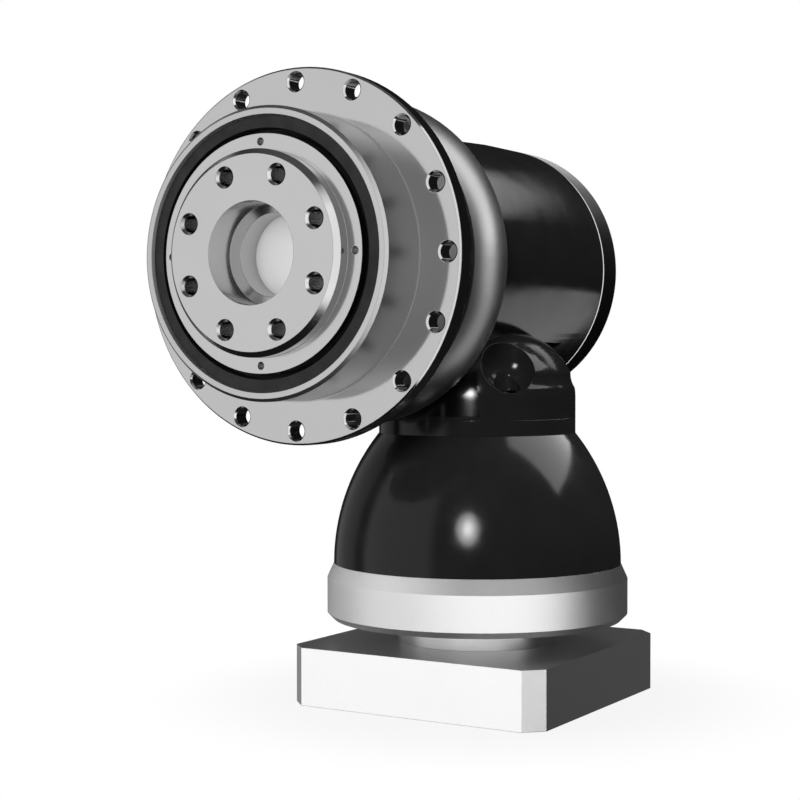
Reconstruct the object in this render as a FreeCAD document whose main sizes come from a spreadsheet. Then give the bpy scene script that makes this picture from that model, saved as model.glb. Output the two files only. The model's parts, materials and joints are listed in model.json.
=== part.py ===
import FreeCAD, Part
import math
import os
import re
import Sketcher

# Right angle planetary gearbox.
# A motor clamps to the pinion shaft on the upright input axis. The pinion turns an offset crown gear,
# whose shaft carries the sun gear of a planetary stage. The planet carrier is the output flange.
# Frame: millimetres, +Z up, origin at the centre of the motor plate's underside, on the input axis.
# The output axis lies along Y, beside the input axis, and the output faces -Y.
# "Forward" below is the distance along the output axis, counted from the input axis towards the output.

Vector = FreeCAD.Vector
Placement = FreeCAD.Placement
Rotation = FreeCAD.Rotation

# Driving dimensions, in millimetres, degrees or counts

DIMENSIONS = {
    # Axes
    "axis_offset": 23.0,
    "axis_height": 147.8,
    # Mounting flange and pilot
    "flange_face": 76.2,
    "flange_thickness": 5.9,
    "flange_hole": 5.5,
    "flange_hole_setout": 9.5,
    "flange_edge": 4.5,
    "flange_holes": 16,
    "flange_chamfer": 0.6,
    "pilot_wall": 3.3,
    "pilot_length": 18.8,
    "pilot_chamfer": 1.0,
    "rim_width": 1.7,
    "head_room": 3.2,
    "seat_gap": 4.3,
    "spigot_step": 1.1,
    "spigot_length": 5.0,
    # Output flange
    "boss_diameter": 63.0,
    "boss_height": 5.4,
    "boss_chamfer": 1.7,
    "annulus_diameter": 72.8,
    "bore_diameter": 31.5,
    "bore_depth": 11.0,
    "cap_diameter": 26.0,
    "cap_depth": 21.0,
    "cap_thickness": 4.0,
    "hollow_diameter": 23.0,
    "output_pitch": 50.0,
    "output_hole": 5.0,
    "output_countersink": 6.8,
    "output_hole_depth": 12.0,
    "output_holes": 8,
    "locating_hole": 2.4,
    "locating_depth": 4.0,
    "locating_holes": 4,
    # Output seal
    "lip_depth": 1.8,
    "seal_wall": 3.5,
    "seal_width": 8.0,
    "lip_start": 0.6,
    "lip_end": 0.7,
    "seal_recess": 1.0,
    "running_gap": 0.05,
    # Main bearing
    "main_bore": 60.0,
    "main_outer": 78.0,
    "main_width": 18.0,
    "main_ring": 2.9,
    "main_setback": 9.0,
    "shoulder_gap": 1.0,
    "rollers_per_row": 12,
    "roller_length": 6.0,
    "nut_width": 4.0,
    "nut_wall": 3.5,
    # Planetary stage
    "planets": 3,
    "gear_module": 1.5,
    "dedendum": 1.25,
    "sun_teeth": 12,
    "planet_teeth": 18,
    "pressure_angle": 25.0,
    "backlash": 0.12,
    "planet_width": 17.0,
    "planet_play": 1.0,
    "pin_diameter": 10.0,
    "pin_grip": 6.0,
    "needle_wall": 1.5,
    "ring_wall": 5.0,
    "carrier_thickness": 6.0,
    "carrier_diameter": 62.0,
    "post_diameter": 12.0,
    "post_pitch": 48.0,
    "carrier_screw": 5.0,
    "carrier_screw_grip": 8.0,
    "sun_journal": 18.0,
    # Gear body
    "screw_space": 16.8,
    "body_step": 2.4,
    "body_end_step": 4.1,
    "body_rounding": 22.0,
    "body_chamfer": 0.5,
    "plate_gap": 5.8,
    # Angle housing
    "barrel_diameter": 92.8,
    "barrel_back": 52.5,
    "barrel_bore": 80.0,
    "barrel_spigot": 4.6,
    "web_gap": 2.4,
    "neck_diameter": 67.4,
    "neck_top": 124.6,
    "neck_flat_rise": 1.2,
    "neck_rounding": 22.0,
    "pocket_radius": 10.5,
    "pocket_overhang": 0.3,
    "pocket_floor": 104.6,
    "pocket_height": 16.8,
    "relief_radius": 8.6,
    "relief_overhang": 6.9,
    "relief_rise": 6.2,
    "neck_screw_inset": 5.1,
    "neck_screw_rise": 4.7,
    "neck_screw": 5.0,
    "neck_screw_length": 20.0,
    # Rear cover
    "shim_thickness": 0.8,
    "cover_thickness": 11.6,
    "cover_chamfer": 1.0,
    "cover_screw_pitch": 84.6,
    "cover_screw": 3.0,
    "cover_screws": 6,
    "cover_screw_length": 16.0,
    # Crown gear and sun shaft
    "pinion_teeth": 10,
    "crown_teeth": 30,
    "angle_module": 1.6,
    "crown_inner": 31.0,
    "crown_outer": 37.5,
    "crown_thickness": 12.0,
    "crown_bore": 32.0,
    "tooth_clearance": 0.4,
    "crown_flange_diameter": 54.0,
    "crown_flange_thickness": 5.0,
    "crown_screw_pitch": 43.0,
    "crown_screw": 4.0,
    "crown_screws": 6,
    "flank_angle": 20.0,
    "waist_diameter": 22.0,
    "shaft_front_bore": 25.0,
    "shaft_front_width": 9.0,
    "shaft_rear_bore": 20.0,
    "bearing_outer": 42.0,
    "bearing_width": 12.0,
    "bearing_ring": 3.6,
    "bearing_lip": 2.0,
    "shield_gap": 0.5,
    # Input stack, from the motor plate up
    "plate_width": 94.0,
    "plate_thickness": 19.4,
    "plate_chamfer": 5.8,
    "motor_pilot": 80.0,
    "motor_pilot_depth": 5.0,
    "motor_pitch": 100.0,
    "motor_hole": 5.0,
    "motor_hole_depth": 15.0,
    "motor_holes": 4,
    "collar_diameter": 54.0,
    "collar_height": 7.8,
    "collar_bore": 34.0,
    "plate_screw_pitch": 44.6,
    "plate_screw": 4.0,
    "plate_screws": 4,
    "ring_diameter": 103.0,
    "ring_height": 18.9,
    "ring_bevel": 2.1,
    "ring_cone": 5.0,
    "ring_floor": 4.5,
    "ring_bore": 84.0,
    "bell_diameter": 98.5,
    "bell_height": 44.5,
    "bell_radius": 71.8,
    "bell_cavity": 6.0,
    "band_height": 5.2,
    # Pinion shaft and clamp hub
    "hub_diameter": 30.0,
    "hub_bottom": 24.0,
    "hub_length": 26.0,
    "motor_shaft": 19.0,
    "motor_shaft_depth": 32.0,
    "seal_journal": 24.0,
    "lower_seat": 62.0,
    "upper_seat": 96.5,
    "pinion_bottom": 111.8,
    "pinion_top": 127.3,
    "clamp_diameter": 48.0,
    "clamp_width": 12.0,
    "clamp_height": 33.0,
    "clamp_slit": 2.0,
    "clamp_screw": 6.0,
    "clamp_screw_reach": 19.5,
    "plug_diameter": 10.0,
    "plug_length": 6.0,
    "input_seal_width": 7.0,
    # Fastener proportions
    "screw_clearance": 0.1,
    "head_share": 0.83,
    "socket_share": 0.42,
    "socket_depth_share": 0.55,
}

doc = FreeCAD.newDocument("RightAngleGearbox")
sheet = doc.addObject("Spreadsheet::Sheet", "Dims")
for row, (alias, number) in enumerate(DIMENSIONS.items(), start=1):
    sheet.set(f"A{row}", alias.replace("_", " "))
    sheet.set(f"B{row}", str(number))
    sheet.setAlias(f"B{row}", alias)
doc.recompute()

# Reading the sheet and binding to it


def bound(text):
    """Expression in which every plain word that isn't a function names a cell of the sheet."""
    return re.sub(r"\b[a-z][a-z_]+\b(?!\()", lambda word: "Dims." + word.group(), str(text))


def size(text):
    """Present value of an expression."""
    return float(sheet.evalExpression(bound(text)))


# Diameters that follow outward from the turning flange to the edge of the mounting flange

SEAL_INNER = "(annulus_diameter + 2 * lip_depth)"
SEAL_OUTER = f"({SEAL_INNER} + 2 * seal_wall)"
PILOT_DIAMETER = f"({SEAL_OUTER} + 2 * pilot_wall)"
FLANGE_PITCH = f"({PILOT_DIAMETER} + 2 * flange_hole_setout)"
FLANGE_DIAMETER = f"({FLANGE_PITCH} + 2 * flange_edge)"
SEAT_DIAMETER = f"({FLANGE_PITCH} - flange_hole - 2 * head_room)"
LOCATING_PITCH = "((annulus_diameter + boss_diameter) / 2)"
NECK_SCREW_PITCH = "(neck_diameter - 2 * neck_screw_inset)"
POCKET_PITCH = "(neck_diameter + 2 * pocket_overhang)"

# Places along the output axis, from the input axis forward

PILOT_END = "(flange_face + pilot_length)"
BOSS_FACE = f"({PILOT_END} + boss_height)"
FLANGE_BACK = "(flange_face - flange_thickness)"
HOUSING_SEAT = f"({FLANGE_BACK} - seat_gap)"
SPIGOT_END = f"({HOUSING_SEAT} - spigot_length)"
BODY_FRONT = f"({FLANGE_BACK} - screw_space)"
MAIN_FRONT = "(flange_face + main_setback)"
MAIN_BACK = f"({MAIN_FRONT} - main_width)"
CARRIER_FACE = f"({MAIN_BACK} - nut_width - 2 * planet_play)"
PLANET_FRONT = f"({CARRIER_FACE} - planet_play)"
PLANET_BACK = f"({PLANET_FRONT} - planet_width)"
PLATE_FRONT = f"({PLANET_BACK} - planet_play)"
PLATE_BACK = f"({PLATE_FRONT} - carrier_thickness)"
BARREL_FRONT = f"({PLATE_BACK} - plate_gap)"
COVER_SEAT = "(-barrel_back - shim_thickness)"
COVER_BACK = f"({COVER_SEAT} - cover_thickness)"

# Heights on the input axis

COLLAR_TOP = "(plate_thickness + collar_height)"
RING_TOP = f"({COLLAR_TOP} + ring_height)"
BELL_TOP = f"({RING_TOP} + bell_height)"
NECK_BOTTOM = f"({BELL_TOP} + band_height)"
NECK_SCREW_SEAT = f"({NECK_BOTTOM} + neck_screw_rise)"
HUB_TOP = "(hub_bottom + hub_length)"

# Gear sizes that follow from the tooth counts

RING_TEETH = "(sun_teeth + 2 * planet_teeth)"
ORBIT_RADIUS = "(gear_module * (sun_teeth + planet_teeth) / 2)"
SUN_ROOT = "(gear_module * (sun_teeth / 2 - dedendum))"
RING_OUTER = f"(gear_module * ({RING_TEETH} / 2 + dedendum) + ring_wall)"
SPIGOT_RADIUS = f"({RING_OUTER} + spigot_step)"
PINION_RADIUS = "(angle_module * pinion_teeth / 2)"
PINION_TIP = f"({PINION_RADIUS} + angle_module)"
PINION_ROOT = f"({PINION_RADIUS} - dedendum * angle_module)"
CROWN_TIP = f"(-{PINION_RADIUS} + angle_module)"
CROWN_ROOT = f"(-{PINION_TIP} - tooth_clearance)"
CROWN_BACK = f"({CROWN_ROOT} - crown_thickness)"
FLANGE_REAR = f"({CROWN_BACK} - crown_flange_thickness)"
WEB_BACK = f"({PINION_TIP} + web_gap)"

# Sketch and feature helpers

subparts = []


def output_placement():
    """Local Z along the output axis, forward."""
    turned = Rotation(Vector(1, 0, 0), 90)
    return Placement(Vector(-size("axis_offset"), 0, size("axis_height")), turned)


def place_on_output(thing):
    """Keeps a sub-part on the output axis."""
    thing.Placement = output_placement()
    thing.setExpression("Placement.Base.x", bound("-axis_offset"))
    thing.setExpression("Placement.Base.z", bound("axis_height"))


def new_body(label, on_output):
    body = doc.addObject("PartDesign::Body", label)
    body.Label = label
    if on_output:
        place_on_output(body)
    subparts.append(body)
    return body


def origin_feature(body, role):
    return next(item for item in body.Origin.OriginFeatures if item.Role == role)


def new_sketch(body, plane, name):
    sketch = body.newObject("Sketcher::SketchObject", name)
    sketch.AttachmentSupport = (origin_feature(body, plane), [""])
    sketch.MapMode = "FlatFace"
    return sketch


def hold_point(sketch, geometry, end, across, up):
    """Ties one end of a line or arc to two bound distances from the sketch origin."""
    for kind, axis, text in (("DistanceX", -2, across), ("DistanceY", -1, up)):
        value = size(text)
        if str(text) == "0":
            sketch.addConstraint(Sketcher.Constraint("PointOnObject", geometry, end, axis))
        else:
            index = sketch.addConstraint(Sketcher.Constraint(kind, -1, 1, geometry, end, value))
            sketch.setExpression(f"Constraints[{index}]", bound(text))


def arc_between(start, end, radius, side):
    """Arc from start to end, its centre to the left (+1) or right (-1) of the way along the chord."""
    chord = end - start
    middle = (start + end) * 0.5
    height = math.sqrt(max(radius ** 2 - (chord.Length / 2) ** 2, 0.0))
    across = Vector(-chord.y, chord.x, 0).normalize() * side
    centre = middle + across * height
    first = math.atan2(start.y - centre.y, start.x - centre.x)
    last = math.atan2(end.y - centre.y, end.x - centre.x)
    circle = Part.Circle(centre, Vector(0, 0, 1), radius)
    if side > 0:
        return Part.ArcOfCircle(circle, first, last)
    return Part.ArcOfCircle(circle, last, first)


def draw_outline(sketch, points):
    """Closed outline. A point is (across, up), or (across, up, radius, side) where an arc leaves it."""
    spots = [Vector(size(point[0]), size(point[1]), 0) for point in points]
    first = sketch.GeometryCount
    ends = []
    for index, point in enumerate(points):
        start = spots[index]
        stop = spots[(index + 1) % len(points)]
        if len(point) == 4:
            geometry = sketch.addGeometry(arc_between(start, stop, size(point[2]), point[3]), False)
            ends.append((1, 2) if point[3] > 0 else (2, 1))
            held = sketch.addConstraint(Sketcher.Constraint("Radius", geometry, size(point[2])))
            sketch.setExpression(f"Constraints[{held}]", bound(point[2]))
        else:
            sketch.addGeometry(Part.LineSegment(start, stop), False)
            ends.append((1, 2))
    for index, point in enumerate(points):
        line = first + index
        following = (index + 1) % len(points)
        link = Sketcher.Constraint("Coincident", line, ends[index][1], first + following, ends[following][0])
        sketch.addConstraint(link)
        hold_point(sketch, line, ends[index][0], point[0], point[1])


def revolve(body, name, points, kind="PartDesign::Revolution", start=0.0, sweep=360.0):
    """Turns an outline of (radius, height) points about the body's own Z axis."""
    sketch = new_sketch(body, "XZ_Plane", name + "_outline")
    sketch.AttachmentOffset = Placement(Vector(), Rotation(Vector(0, 1, 0), start))
    draw_outline(sketch, points)
    feature = body.newObject(kind, name)
    feature.Profile = sketch
    feature.ReferenceAxis = (sketch, ["V_Axis"])
    feature.Angle = sweep
    sketch.Visibility = False
    return feature


def turned_body(label, points, on_output=False):
    body = new_body(label, on_output)
    revolve(body, label + "_turned", points)
    return body


def tube(label, inner, outer, low, high, on_output=False):
    """Plain ring between two radii and two heights."""
    points = [(inner, low), (outer, low), (outer, high), (inner, high)]
    return turned_body(label, points, on_output)


def round_features(body, kind, name, pitch, steps, count="1", start=0.0):
    """Ring of equal round holes or studs. Each step is (radius, height), from one end to the other."""
    sketch = new_sketch(body, "XZ_Plane", name + "_section")
    sketch.AttachmentOffset = Placement(Vector(), Rotation(Vector(0, 1, 0), start))
    centre = f"({pitch}) / 2"
    ends = [(centre, steps[0][1]), (centre, steps[-1][1])]
    line = Part.LineSegment(*(Vector(size(across), size(up), 0) for across, up in ends))
    axis = sketch.addGeometry(line, True)
    hold_point(sketch, axis, 1, *ends[0])
    hold_point(sketch, axis, 2, *ends[1])
    wall = [(f"{centre} + {step[0]}",) + tuple(step[1:]) for step in steps]
    if steps[0][0] != "0":
        wall.insert(0, ends[0])
    if steps[-1][0] != "0":
        wall.append(ends[1])
    draw_outline(sketch, wall)
    feature = body.newObject(kind, name)
    feature.Profile = sketch
    feature.ReferenceAxis = (sketch, ["Axis0"])
    feature.Angle = 360
    sketch.Visibility = False
    if count == "1":
        return feature
    ring = body.newObject("PartDesign::PolarPattern", name + "_ring")
    ring.Originals = [feature]
    ring.Axis = (origin_feature(body, "Z_Axis"), [""])
    ring.Angle = 360
    ring.Occurrences = int(size(count))
    ring.setExpression("Occurrences", bound(count))
    body.Tip = ring
    return ring


def drill(body, name, pitch, steps, count="1", start=0.0):
    """Ring of equal holes, each from its mouth to its bottom."""
    return round_features(body, "PartDesign::Groove", name, pitch, steps, count, start)


def revolve_on_output(body, kind, name, steps):
    """Turns an outline of (forward, radius) points about the output axis of an upright body."""
    sketch = new_sketch(body, "YZ_Plane", name + "_outline")
    sketch.AttachmentOffset = Placement(Vector(0, 0, -size("axis_offset")), Rotation())
    sketch.setExpression("AttachmentOffset.Base.z", bound("-axis_offset"))
    points = [(f"-({forward})", f"axis_height + {radius}") for forward, radius in steps]
    ends = [points[0], points[-1]]
    line = Part.LineSegment(*(Vector(size(across), size(up), 0) for across, up in ends))
    axis = sketch.addGeometry(line, True)
    hold_point(sketch, axis, 1, *ends[0])
    hold_point(sketch, axis, 2, *ends[1])
    draw_outline(sketch, points)
    feature = body.newObject(kind, name)
    feature.Profile = sketch
    feature.ReferenceAxis = (sketch, ["Axis0"])
    feature.Angle = 360
    sketch.Visibility = False
    return feature


def new_feature(label, shape, on_output=False):
    """Sub-part whose shape comes from solid operations, with its sizes read from the sheet."""
    feature = doc.addObject("Part::Feature", label)
    feature.Label = label
    feature.Shape = shape
    if on_output:
        place_on_output(feature)
    subparts.append(feature)
    return feature


def polygon_prism(points, low, high, centre=Vector()):
    """Upright prism over a closed polygon of (x, y) points, set about a centre."""
    corners = [centre + Vector(x, y, low) for x, y in points]
    face = Part.Face(Part.makePolygon(corners + corners[:1]))
    return face.extrude(Vector(0, 0, high - low))


def around(radius, degrees):
    return Vector(radius * math.cos(math.radians(degrees)), radius * math.sin(math.radians(degrees)), 0)


def ring_of(shape, radius, count, start=0.0):
    """Copies of a shape set round the Z axis."""
    copies = []
    for index in range(count):
        copy = shape.copy()
        copy.Placement = Placement(around(radius, start + index * 360.0 / count), Rotation()) * copy.Placement
        copies.append(copy)
    return copies


def socket_screw(diameter, length):
    """Socket head screw along Z, its head standing up from z = 0 and its shank below."""
    head = Part.makeCylinder(diameter * size("head_share"), diameter)
    shank = Part.makeCylinder(diameter / 2, length, Vector(0, 0, -length))
    hexagon = [around(diameter * size("socket_share"), 60 * corner) for corner in range(6)]
    depth = diameter * size("socket_depth_share")
    socket = polygon_prism([(corner.x, corner.y) for corner in hexagon], diameter - depth, diameter)
    return head.fuse(shank).removeSplitter().cut(socket)


# Output housing: mounting flange, pilot, bearing seat and seal seat

output_housing = turned_body("output_housing", [
    ("main_outer / 2", SPIGOT_END),
    (SPIGOT_RADIUS, SPIGOT_END),
    (SPIGOT_RADIUS, HOUSING_SEAT),
    (f"{SEAT_DIAMETER} / 2", HOUSING_SEAT),
    (f"{SEAT_DIAMETER} / 2", FLANGE_BACK),
    (f"{FLANGE_DIAMETER} / 2", FLANGE_BACK),
    (f"{FLANGE_DIAMETER} / 2", "flange_face - flange_chamfer"),
    (f"{FLANGE_DIAMETER} / 2 - flange_chamfer", "flange_face"),
    (f"{PILOT_DIAMETER} / 2", "flange_face"),
    (f"{PILOT_DIAMETER} / 2", f"{PILOT_END} - pilot_chamfer"),
    (f"{PILOT_DIAMETER} / 2 - pilot_chamfer", PILOT_END),
    (f"{PILOT_DIAMETER} / 2 - pilot_chamfer - rim_width", PILOT_END),
    (f"{SEAL_OUTER} / 2", f"{PILOT_END} - seal_recess"),
    (f"{SEAL_OUTER} / 2", f"{PILOT_END} - seal_recess - seal_width"),
    ("main_outer / 2", f"{PILOT_END} - seal_recess - seal_width"),
], on_output=True)
drill(output_housing, "flange_bolt_holes", FLANGE_PITCH, [
    ("flange_hole / 2 + flange_chamfer", "flange_face"),
    ("flange_hole / 2", "flange_face - flange_chamfer"),
    ("flange_hole / 2", FLANGE_BACK),
], "flange_holes")

# Output seal: body in the pilot, lip on the turning flange

turned_body("output_seal", [
    ("annulus_diameter / 2 + running_gap", f"{PILOT_END} - seal_recess - seal_width"),
    (f"{SEAL_OUTER} / 2", f"{PILOT_END} - seal_recess - seal_width"),
    (f"{SEAL_OUTER} / 2", f"{PILOT_END} - seal_recess"),
    (f"{SEAL_INNER} / 2", f"{PILOT_END} - seal_recess"),
    (f"{SEAL_INNER} / 2", f"{PILOT_END} - seal_recess - seal_width * lip_start"),
    ("annulus_diameter / 2 + running_gap", f"{PILOT_END} - seal_recess - seal_width * lip_end"),
], on_output=True)

# Output flange: boss, annulus, bearing journal and stepped bore, with the carrier face at the back

output_flange = turned_body("output_flange", [
    ("hollow_diameter / 2", CARRIER_FACE),
    ("main_bore / 2", CARRIER_FACE),
    ("main_bore / 2", MAIN_FRONT),
    ("main_bore / 2 + main_ring", MAIN_FRONT),
    ("main_bore / 2 + main_ring", f"{MAIN_FRONT} + shoulder_gap"),
    ("annulus_diameter / 2", f"{MAIN_FRONT} + shoulder_gap"),
    ("annulus_diameter / 2", PILOT_END),
    ("boss_diameter / 2", PILOT_END),
    ("boss_diameter / 2", f"{BOSS_FACE} - boss_chamfer"),
    ("boss_diameter / 2 - boss_chamfer", BOSS_FACE),
    ("bore_diameter / 2", BOSS_FACE),
    ("bore_diameter / 2", f"{BOSS_FACE} - bore_depth"),
    ("cap_diameter / 2", f"{BOSS_FACE} - bore_depth - boss_chamfer"),
    ("cap_diameter / 2", f"{BOSS_FACE} - cap_depth - cap_thickness"),
    ("hollow_diameter / 2", f"{BOSS_FACE} - cap_depth - cap_thickness"),
], on_output=True)
half_output_step = 180.0 / size("output_holes")
drill(output_flange, "output_tapped_holes", "output_pitch", [
    ("output_countersink / 2", BOSS_FACE),
    ("output_hole / 2", f"{BOSS_FACE} - (output_countersink - output_hole) / 2"),
    ("output_hole / 2", f"{BOSS_FACE} - output_hole_depth"),
], "output_holes", half_output_step)
drill(output_flange, "locating_drillings", LOCATING_PITCH, [
    ("locating_hole / 2", PILOT_END),
    ("locating_hole / 2", f"{PILOT_END} - locating_depth"),
], "locating_holes")

# Bore cap behind the output bore

tube("bore_cap", "0", "cap_diameter / 2", f"{BOSS_FACE} - cap_depth - cap_thickness",
     f"{BOSS_FACE} - cap_depth", on_output=True)

# Main bearing: one outer ring, one inner ring and two rows of rollers, held by a nut

tube("main_bearing_outer", "main_outer / 2 - main_ring", "main_outer / 2", MAIN_BACK, MAIN_FRONT,
     on_output=True)
tube("main_bearing_inner", "main_bore / 2", "main_bore / 2 + main_ring", MAIN_BACK, MAIN_FRONT,
     on_output=True)
tube("bearing_nut", "main_bore / 2", "main_bore / 2 + nut_wall", f"{MAIN_BACK} - nut_width", MAIN_BACK,
     on_output=True)


def roller_rows():
    """Two rows of rollers that just clear both rings."""
    inner = size("main_bore / 2 + main_ring")
    outer = size("main_outer / 2 - main_ring")
    length = size("roller_length")
    count = int(size("rollers_per_row"))
    roller = Part.makeCylinder((outer - inner) / 2 - size("running_gap"), length)
    quarter = size("main_width") / 4
    rows = []
    for row, middle in enumerate((size(MAIN_BACK) + quarter, size(MAIN_FRONT) - quarter)):
        for copy in ring_of(roller, (inner + outer) / 2, count, row * 180.0 / count):
            copy.translate(Vector(0, 0, middle - length / 2))
            rows.append(copy)
    return Part.makeCompound(rows)


new_feature("bearing_rollers", roller_rows(), on_output=True)

# Planetary stage


def involute_angle(radius, base):
    """Angle by which an involute has turned where it meets a radius."""
    reach = math.sqrt(max((radius / base) ** 2 - 1, 0.0))
    return reach - math.atan(reach)


FLANK_STEPS = 3


def tooth_flank(teeth, module, inner, outer, half_space):
    """Points of one flank from the inner to the outer radius, as (radius, angle from the tooth's middle)."""
    pitch = module * teeth / 2
    base = pitch * math.cos(math.radians(size("pressure_angle")))
    half_tooth = math.pi / (2 * teeth) - half_space / pitch
    at_pitch = half_tooth + involute_angle(pitch, base)
    low = max(inner, base)
    flank = []
    if inner < base:
        flank.append((inner, at_pitch))
    for step in range(FLANK_STEPS + 1):
        radius = low + (outer - low) * step / FLANK_STEPS
        flank.append((radius, at_pitch - involute_angle(radius, base)))
    return flank


def toothed_outline(teeth, module, inner, outer, half_space, phase):
    """Closed outline of a gear as (x, y) points, with a tooth at the phase angle in degrees."""
    flank = tooth_flank(teeth, module, inner, outer, half_space)
    points = []
    for tooth in range(teeth):
        middle = math.radians(phase) + tooth * 2 * math.pi / teeth
        for radius, angle in flank:
            points.append((radius * math.cos(middle - angle), radius * math.sin(middle - angle)))
        for radius, angle in reversed(flank):
            points.append((radius * math.cos(middle + angle), radius * math.sin(middle + angle)))
    return points


def outer_gear(teeth, module, low, high, phase, centre=Vector()):
    """Spur gear with a tooth at the phase angle and half the backlash taken off each flank."""
    pitch = module * teeth / 2
    root = pitch - size("dedendum") * module
    outline = toothed_outline(teeth, module, root, pitch + module, size("backlash / 2"), phase)
    return polygon_prism(outline, low, high, centre)


gear_module = size("gear_module")
sun_teeth = int(size("sun_teeth"))
planet_teeth = int(size("planet_teeth"))
ring_teeth = int(size(RING_TEETH))
planet_count = int(size("planets"))
orbit = size(ORBIT_RADIUS)
planet_low = size(PLANET_BACK)
planet_high = size(PLANET_FRONT)

# Planets stand at the places nearest to thirds of a turn where all teeth mesh. The ring has a tooth gap
# at angle zero, and the sun has a tooth gap at the first planet.
first_planet = 90.0
assembly_steps = ring_teeth + sun_teeth
planet_angles = [
    first_planet + 360.0 / assembly_steps * round(index * assembly_steps / planet_count)
    for index in range(planet_count)
]
planet_ring_ratio = ring_teeth / planet_teeth
first_phase = first_planet * (1 - planet_ring_ratio)
sun_meets_tooth = (first_planet + 180.0 - first_phase) * planet_teeth / 360.0
sun_phase = first_planet - (0.5 - sun_meets_tooth) * 360.0 / sun_teeth

ring_pitch = gear_module * ring_teeth / 2
ring_blank = Part.makeCylinder(size(RING_OUTER), planet_high - planet_low, Vector(0, 0, planet_low))
ring_root = ring_pitch + size("dedendum") * gear_module
ring_space = toothed_outline(ring_teeth, gear_module, ring_pitch - gear_module, ring_root,
                             -size("backlash / 2"), 0.0)
new_feature("ring_gear", ring_blank.cut(polygon_prism(ring_space, planet_low, planet_high)), on_output=True)

pin_radius = size("pin_diameter / 2")
shell_radius = pin_radius + size("running_gap") + size("needle_wall")
planet_length = planet_high - planet_low
for number, angle in enumerate(planet_angles, start=1):
    centre = around(orbit, angle)
    foot = centre + Vector(0, 0, planet_low)
    phase = angle * (1 - planet_ring_ratio)
    gear = outer_gear(planet_teeth, gear_module, planet_low, planet_high, phase, centre)
    shell = Part.makeCylinder(shell_radius, planet_length, foot)
    pin_space = Part.makeCylinder(pin_radius + size("running_gap"), planet_length, foot)
    new_feature(f"planet_gear_{number}", gear.cut(shell), on_output=True)
    new_feature(f"planet_needle_shell_{number}", shell.cut(pin_space), on_output=True)

pin_low = size(PLATE_BACK)
pin_high = size(f"{CARRIER_FACE} + pin_grip")
pins = []
for angle in planet_angles:
    pin_foot = around(orbit, angle) + Vector(0, 0, pin_low)
    pins.append(Part.makeCylinder(pin_radius, pin_high - pin_low, pin_foot))
new_feature("planet_pins", Part.makeCompound(pins), on_output=True)

# Carrier: rear plate with three posts, screwed to the output flange

post_start = first_planet + 180.0 / planet_count
carrier_plate = tube("carrier_plate", "sun_journal / 2 + planet_play", "carrier_diameter / 2", PLATE_BACK,
                     PLATE_FRONT, on_output=True)
for number in range(planet_count):
    angle = post_start + number * 360.0 / planet_count
    round_features(carrier_plate, "PartDesign::Revolution", f"post_{number}", "post_pitch", [
        ("post_diameter / 2", PLATE_FRONT),
        ("post_diameter / 2", CARRIER_FACE),
    ], start=angle)
    drill(carrier_plate, f"post_screw_hole_{number}", "post_pitch", [
        ("carrier_screw * head_share + screw_clearance", PLATE_BACK),
        ("carrier_screw * head_share + screw_clearance", f"{PLATE_BACK} + carrier_screw"),
        ("carrier_screw / 2 + screw_clearance", f"{PLATE_BACK} + carrier_screw"),
        ("carrier_screw / 2 + screw_clearance", CARRIER_FACE),
    ], start=angle)
    drill(output_flange, f"carrier_tapping_{number}", "post_pitch", [
        ("carrier_screw / 2 + screw_clearance", CARRIER_FACE),
        ("carrier_screw / 2 + screw_clearance", f"{CARRIER_FACE} + carrier_screw_grip + planet_play"),
    ], start=angle)
for number, angle in enumerate(planet_angles):
    drill(carrier_plate, f"pin_seat_{number}", f"2 * {ORBIT_RADIUS}", [
        ("pin_diameter / 2", PLATE_BACK),
        ("pin_diameter / 2", PLATE_FRONT),
    ], start=angle)
    drill(output_flange, f"pin_socket_{number}", f"2 * {ORBIT_RADIUS}", [
        ("pin_diameter / 2", CARRIER_FACE),
        ("pin_diameter / 2", f"{CARRIER_FACE} + pin_grip"),
    ], start=angle)

carrier_screw_seat = size(f"{PLATE_BACK} + carrier_screw")
carrier_screw_length = size(f"{CARRIER_FACE} + carrier_screw_grip") - carrier_screw_seat
carrier_screw = socket_screw(size("carrier_screw"), carrier_screw_length)
carrier_screw.rotate(Vector(), Vector(1, 0, 0), 180)
carrier_screw.translate(Vector(0, 0, carrier_screw_seat))
carrier_screw_group = ring_of(carrier_screw, size("post_pitch / 2"), planet_count, post_start)
new_feature("carrier_screws", Part.makeCompound(carrier_screw_group), on_output=True)

# Gear body: bulging shell round the ring gear, with a neck that leaves room for the flange's screw heads

BODY_NECK = f"({SEAT_DIAMETER} / 2)"
turned_body("gear_body", [
    (RING_OUTER, BARREL_FRONT),
    ("barrel_diameter / 2 + body_end_step", BARREL_FRONT, "body_rounding", 1),
    (f"{BODY_NECK} + body_step", f"{BODY_FRONT} - body_chamfer"),
    (f"{BODY_NECK} + body_step - body_chamfer", BODY_FRONT),
    (BODY_NECK, BODY_FRONT),
    (BODY_NECK, HOUSING_SEAT),
    (SPIGOT_RADIUS, HOUSING_SEAT),
    (SPIGOT_RADIUS, SPIGOT_END),
    (RING_OUTER, SPIGOT_END),
], on_output=True)

# Angle housing: neck, flat behind the gear body, barrel, bores and screw pockets

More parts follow.
